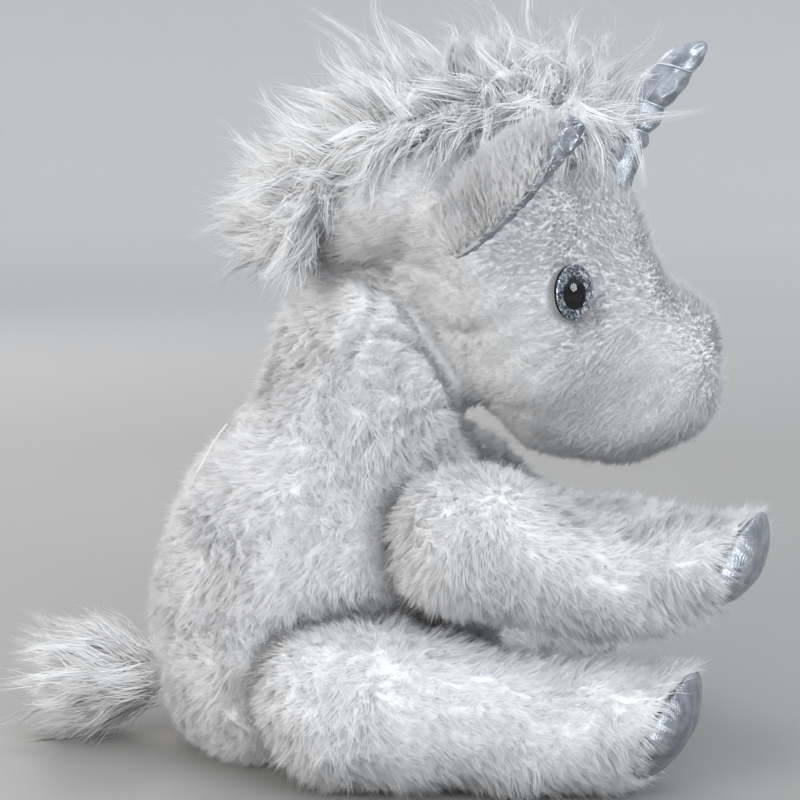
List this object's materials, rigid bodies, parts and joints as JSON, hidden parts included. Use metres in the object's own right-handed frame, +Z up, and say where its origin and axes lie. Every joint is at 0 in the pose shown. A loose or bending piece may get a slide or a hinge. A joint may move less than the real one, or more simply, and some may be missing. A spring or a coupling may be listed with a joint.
{
  "type": "plush unicorn",
  "caption": "Seated white plush unicorn with a silver horn, long mane and tail, and stuffed head, ears, legs and tail that bend.",
  "frame": {"origin": "middle of the flat seat panel, on the surface that the toy sits on", "axes": "+X forwards, the way the nose points; +Y the toy's left; +Z up"},
  "size_m": [0.3539, 0.2396, 0.3512],
  "materials": {
    "white_plush": "short dense white pile, matt, slightly warm",
    "long_white_hair": "long shaggy white hair with a silky sheen",
    "white_backing": "plain knitted backing",
    "silver_lame": "metallic silver-blue woven fabric with puckered seams",
    "silver_thread": "shiny silver thread",
    "white_thread": "matt sewing thread",
    "polyester_filling": "loose white fibre",
    "clear_dome": "polished clear plastic",
    "eye_glitter": "silver-blue glitter ring round a black pupil",
    "black_plastic": "moulded black plastic",
    "white_plastic": "moulded white plastic"
  },
  "bodies": {
    "torso": {"base_panel": "white_plush", "torso_panel_left": "white_plush", "torso_panel_right": "white_plush", "torso_stuffing": "polyester_filling", "back_seam_thread": "white_thread"},
    "neck": {"neck_skin": "white_plush", "neck_stuffing": "polyester_filling"},
    "head": {"cheek_panel_left": "white_plush", "cheek_panel_right": "white_plush", "nape_panel_left": "white_plush", "nape_panel_right": "white_plush", "head_gusset": "white_plush", "head_stuffing": "polyester_filling", "mane_backing": "white_backing", "mane_pile": "long_white_hair", "eye_dome_left": "clear_dome", "eye_dome_right": "clear_dome", "eye_iris_left": "eye_glitter", "eye_iris_right": "eye_glitter", "eye_stem_left": "black_plastic", "eye_stem_right": "black_plastic", "eye_washer_left": "white_plastic", "eye_washer_right": "white_plastic"},
    "horn": {"horn_cover": "silver_lame", "horn_stuffing": "polyester_filling", "horn_thread": "silver_thread"},
    "tail": {"tail_root": "white_backing", "tail_pile": "long_white_hair"},
    "left_ear": {"ear_back_left": "white_plush", "ear_lining_left": "silver_lame"},
    "left_foreleg": {"foreleg_skin_left": "white_plush", "foreleg_stuffing_left": "polyester_filling", "fore_pad_left": "silver_lame"},
    "left_hindleg": {"hindleg_skin_left": "white_plush", "hindleg_stuffing_left": "polyester_filling", "hind_pad_left": "silver_lame"},
    "right_ear": {"ear_back_right": "white_plush", "ear_lining_right": "silver_lame"},
    "right_foreleg": {"foreleg_skin_right": "white_plush", "foreleg_stuffing_right": "polyester_filling", "fore_pad_right": "silver_lame"},
    "right_hindleg": {"hindleg_skin_right": "white_plush", "hindleg_stuffing_right": "polyester_filling", "hind_pad_right": "silver_lame"}
  },
  "joints": [
    {"name": "neck_turn", "type": "hinge", "parent": "torso", "child": "neck", "pos_m": [0.022, 0, 0.188], "axis": [0, 0, 1], "range_deg": [-15, 15], "stiffness_Nm_per_rad": 1.2},
    {"name": "head_nod", "type": "hinge", "parent": "neck", "child": "head", "pos_m": [0.022, 0, 0.188], "axis": [0, 1, 0], "range_deg": [-14, 2], "stiffness_Nm_per_rad": 6},
    {"name": "horn_bend", "type": "hinge", "parent": "head", "child": "horn", "pos_m": [0.1443, 0, 0.2853], "axis": [0, 1, 0], "range_deg": [-8, 10], "stiffness_Nm_per_rad": 0.1},
    {"name": "left_ear_fold", "type": "hinge", "parent": "head", "child": "left_ear", "pos_m": [0.0528, 0.076, 0.2441], "axis": [-0.1214, -0.8687, 0.4803], "range_deg": [-5, 25], "stiffness_Nm_per_rad": 0.1},
    {"name": "right_ear_fold", "type": "hinge", "parent": "head", "child": "right_ear", "pos_m": [0.0528, -0.076, 0.2441], "axis": [0.1214, -0.8687, -0.4803], "range_deg": [-5, 25], "stiffness_Nm_per_rad": 0.1},
    {"name": "left_foreleg_lift", "type": "hinge", "parent": "torso", "child": "left_foreleg", "pos_m": [0.066, 0.066, 0.112], "axis": [0, -0.7071, 0.7071], "range_deg": [0, 50], "stiffness_Nm_per_rad": 1.5},
    {"name": "right_foreleg_lift", "type": "hinge", "parent": "torso", "child": "right_foreleg", "pos_m": [0.066, -0.066, 0.112], "axis": [0, -0.7071, -0.7071], "range_deg": [0, 50], "stiffness_Nm_per_rad": 1.5},
    {"name": "left_hindleg_spread", "type": "hinge", "parent": "torso", "child": "left_hindleg", "pos_m": [0.008, 0.066, 0.0376], "axis": [0, 0, 1], "range_deg": [0, 25], "stiffness_Nm_per_rad": 1.5},
    {"name": "right_hindleg_spread", "type": "hinge", "parent": "torso", "child": "right_hindleg", "pos_m": [0.008, -0.066, 0.0376], "axis": [0, 0, -1], "range_deg": [0, 25], "stiffness_Nm_per_rad": 1.5},
    {"name": "tail_swing", "type": "hinge", "parent": "torso", "child": "tail", "pos_m": [-0.084, 0, 0.03], "axis": [0, 0, 1], "range_deg": [-25, 25], "stiffness_Nm_per_rad": 0.3}
  ]
}
